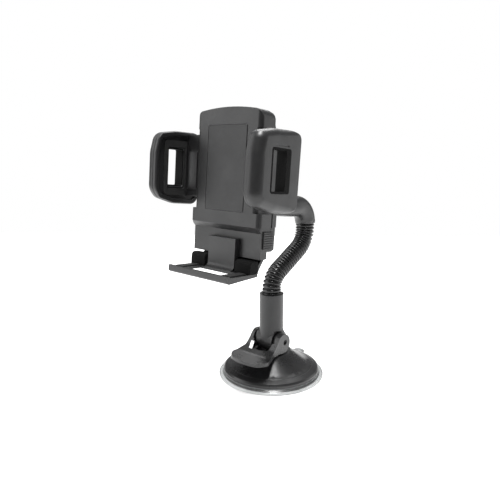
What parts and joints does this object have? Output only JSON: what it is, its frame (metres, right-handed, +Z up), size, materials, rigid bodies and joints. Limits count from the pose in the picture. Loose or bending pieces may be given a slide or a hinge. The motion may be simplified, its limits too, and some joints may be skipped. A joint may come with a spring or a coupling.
{
  "type": "phone mount",
  "caption": "Suction-base phone mount with a bendable ribbed neck, ball-jointed cradle, sliding side jaws, release buttons and a pull-out foot.",
  "frame": {"origin": "centre of the suction disc on the surface it grips", "axes": "+Z up away from that surface, -Y the way the cradle faces, +X to the right seen from behind the phone"},
  "size_m": [0.0972, 0.1273, 0.196],
  "materials": {
    "black_satin": "satin charcoal-black moulded plastic",
    "black_gloss": "semi-gloss black moulded plastic",
    "black_textured": "fine ribbed black plastic",
    "black_rubber": "matt soft rubber",
    "neck_black": "semi-matt ribbed sleeve",
    "clear_pvc": "clear soft vinyl",
    "white_nylon": "natural nylon",
    "steel": "zinc-plated steel"
  },
  "bodies": {
    "base": {"base_dome": "black_gloss", "suction_disc": "clear_pvc"},
    "pin_carriage": {"disc_post": "white_nylon", "pivot_pin": "steel"},
    "lever": {"lock_lever": "black_satin", "lever_catch": "steel"},
    "stem": {"stem": "black_satin", "stem_ring": "black_rubber", "neck_core_1": "steel", "neck_sleeve_1": "neck_black"},
    "neck_low": {"neck_core_2": "steel", "neck_sleeve_2": "neck_black"},
    "neck_high": {"neck_core_3": "steel", "neck_sleeve_3": "neck_black"},
    "elbow": {"neck_core_4": "steel", "neck_sleeve_4": "neck_black", "elbow_arm": "black_satin"},
    "ball_clamp": {"ball_liner": "white_nylon", "clamp_nut": "black_satin"},
    "cradle": {"front_shell": "black_satin", "back_shell": "black_satin", "front_pad": "black_rubber", "shell_screws": "steel", "jaw_spring": "steel"},
    "jaw_left": {"jaw_left": "black_satin", "jaw_pad_left": "black_rubber"},
    "jaw_right": {"jaw_right": "black_satin", "jaw_pad_right": "black_rubber"},
    "pinion": {"jaw_pinion": "white_nylon"},
    "release_slider": {"release_slider": "white_nylon"},
    "button_left": {"button_left": "black_textured"},
    "button_right": {"button_right": "black_textured"},
    "foot": {"foot": "black_satin", "foot_grip": "black_rubber"}
  },
  "joints": [
    {"name": "lever_open", "type": "hinge", "parent": "pin_carriage", "child": "lever", "pos_m": [0, 0, 0.0273], "axis": [-1, 0, 0], "range_deg": [0, 45]},
    {"name": "disc_pull", "type": "slide", "parent": "base", "child": "pin_carriage", "axis": [0, 0, -1], "range_m": [0, 0.00138], "deforming": ["suction_disc"]},
    {"name": "stem_tilt", "type": "hinge", "parent": "pin_carriage", "child": "stem", "pos_m": [0, 0, 0.0273], "axis": [1, 0, 0], "range_deg": [-40, 5]},
    {"name": "neck_bend_low", "type": "hinge", "parent": "stem", "child": "neck_low", "pos_m": [0, 0.00796, 0.07924], "axis": [1, 0, 0], "range_deg": [-20, 9]},
    {"name": "neck_bend_side", "type": "hinge", "parent": "neck_low", "child": "neck_high", "pos_m": [0, 0.02023, 0.08577], "axis": [0, -0.4695, 0.8829], "range_deg": [-20, 20]},
    {"name": "neck_bend_high", "type": "hinge", "parent": "neck_high", "child": "elbow", "pos_m": [0, 0.0325, 0.0923], "axis": [1, 0, 0], "range_deg": [-20, 9]},
    {"name": "cradle_tilt", "type": "hinge", "parent": "elbow", "child": "ball_clamp", "pos_m": [0, -0.02615, 0.1266], "axis": [1, 0, 0], "range_deg": [-15, 15]},
    {"name": "cradle_turn", "type": "hinge", "parent": "ball_clamp", "child": "cradle", "pos_m": [0, -0.02615, 0.1266], "axis": [0, -0.996, 0.0898], "range_deg": [-90, 90]},
    {"name": "jaws_close", "type": "slide", "parent": "cradle", "child": "jaw_left", "axis": [1, 0, 0], "range_m": [0, 0.01], "stiffness_N_per_m": 80, "springref_m": -0.05, "deforming": ["jaw_spring"]},
    {"name": "jaw_right_close", "type": "slide", "parent": "cradle", "child": "jaw_right", "axis": [-1, 0, 0], "range_m": [0, 0.01]},
    {"name": "pinion_turn", "type": "hinge", "parent": "cradle", "child": "pinion", "pos_m": [0, -0.0391, 0.15901], "axis": [0, -0.996, 0.0898], "range_deg": [0, 84]},
    {"name": "button_right_press", "type": "slide", "parent": "cradle", "child": "button_right", "axis": [-1, 0, 0], "range_m": [0, 0.0018], "stiffness_N_per_m": 900, "springref_m": -0.002},
    {"name": "button_left_press", "type": "slide", "parent": "cradle", "child": "button_left", "axis": [1, 0, 0], "range_m": [0, 0.0018]},
    {"name": "slider_drop", "type": "slide", "parent": "cradle", "child": "release_slider", "axis": [0, -0.0898, -0.996], "range_m": [0, 0.0018]},
    {"name": "foot_extend", "type": "slide", "parent": "cradle", "child": "foot", "axis": [0, -0.0898, -0.996], "range_m": [0, 0.015]}
  ],
  "couplings": [
    {"joint": "lever_open", "follows": "disc_pull", "rad_per_m": 570.73},
    {"joint": "jaw_right_close", "follows": "jaws_close", "ratio": 1},
    {"joint": "pinion_turn", "follows": "jaws_close", "rad_per_m": 142.86},
    {"joint": "button_left_press", "follows": "button_right_press", "ratio": 1},
    {"joint": "slider_drop", "follows": "button_right_press", "ratio": 1}
  ]
}
